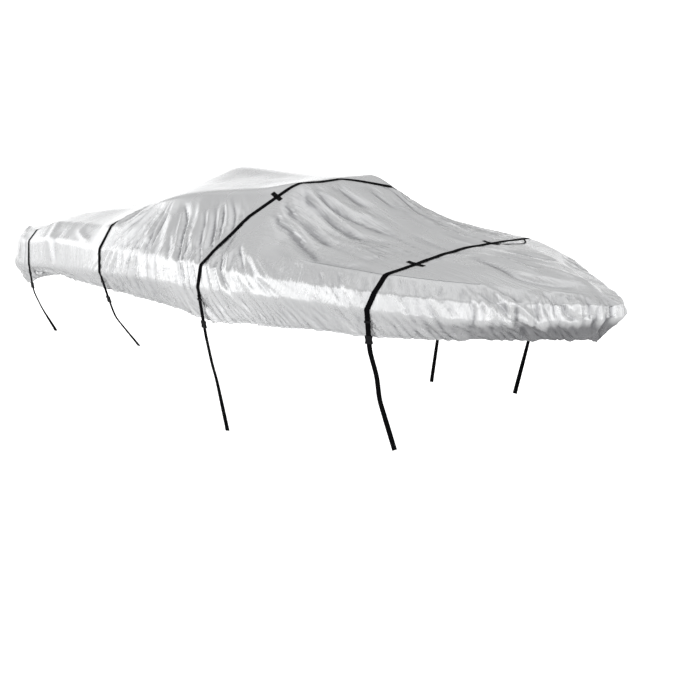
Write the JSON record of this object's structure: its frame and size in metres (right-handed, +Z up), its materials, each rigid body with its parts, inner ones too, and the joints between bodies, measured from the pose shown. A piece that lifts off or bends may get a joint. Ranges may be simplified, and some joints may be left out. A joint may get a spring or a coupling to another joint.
{
  "type": "boat cover",
  "caption": "Fitted silver cloth cover for a motor boat, hollow below, with black webbing straps over its top that hang down both sides with sliders and buckles.",
  "frame": {"origin": "under the top of the cloth, on the middle line, where the covered windscreen carries it", "axes": "+X to the bow, +Y to port, +Z up"},
  "size_m": [6.452, 2.6554, 2.0718],
  "materials": {
    "silver_cloth": "silver coated polyester with a slight sheen",
    "black_webbing": "woven black webbing, dull",
    "black_plastic": "satin black moulded plastic"
  },
  "bodies": {
    "root": {"cover": "silver_cloth", "strap1": "black_webbing", "strap1_slider_starboard": "black_plastic", "strap1_buckle_starboard": "black_plastic", "strap1_tail_starboard": "black_webbing", "strap1_slider_port": "black_plastic", "strap1_buckle_port": "black_plastic", "strap1_tail_port": "black_webbing", "strap2": "black_webbing", "strap2_slider_starboard": "black_plastic", "strap2_buckle_starboard": "black_plastic", "strap2_tail_starboard": "black_webbing", "strap2_slider_port": "black_plastic", "strap2_buckle_port": "black_plastic", "strap2_tail_port": "black_webbing", "strap3": "black_webbing", "strap3_slider_starboard": "black_plastic", "strap3_buckle_starboard": "black_plastic", "strap3_tail_starboard": "black_webbing", "strap3_slider_port": "black_plastic", "strap3_buckle_port": "black_plastic", "strap3_tail_port": "black_webbing", "strap4": "black_webbing", "strap4_slider_starboard": "black_plastic", "strap4_buckle_starboard": "black_plastic", "strap4_tail_starboard": "black_webbing", "strap4_slider_port": "black_plastic", "strap4_buckle_port": "black_plastic", "strap4_tail_port": "black_webbing", "loop_1": "black_webbing", "loop_2": "black_webbing", "loop_3": "black_webbing"}
  },
  "joints": []
}
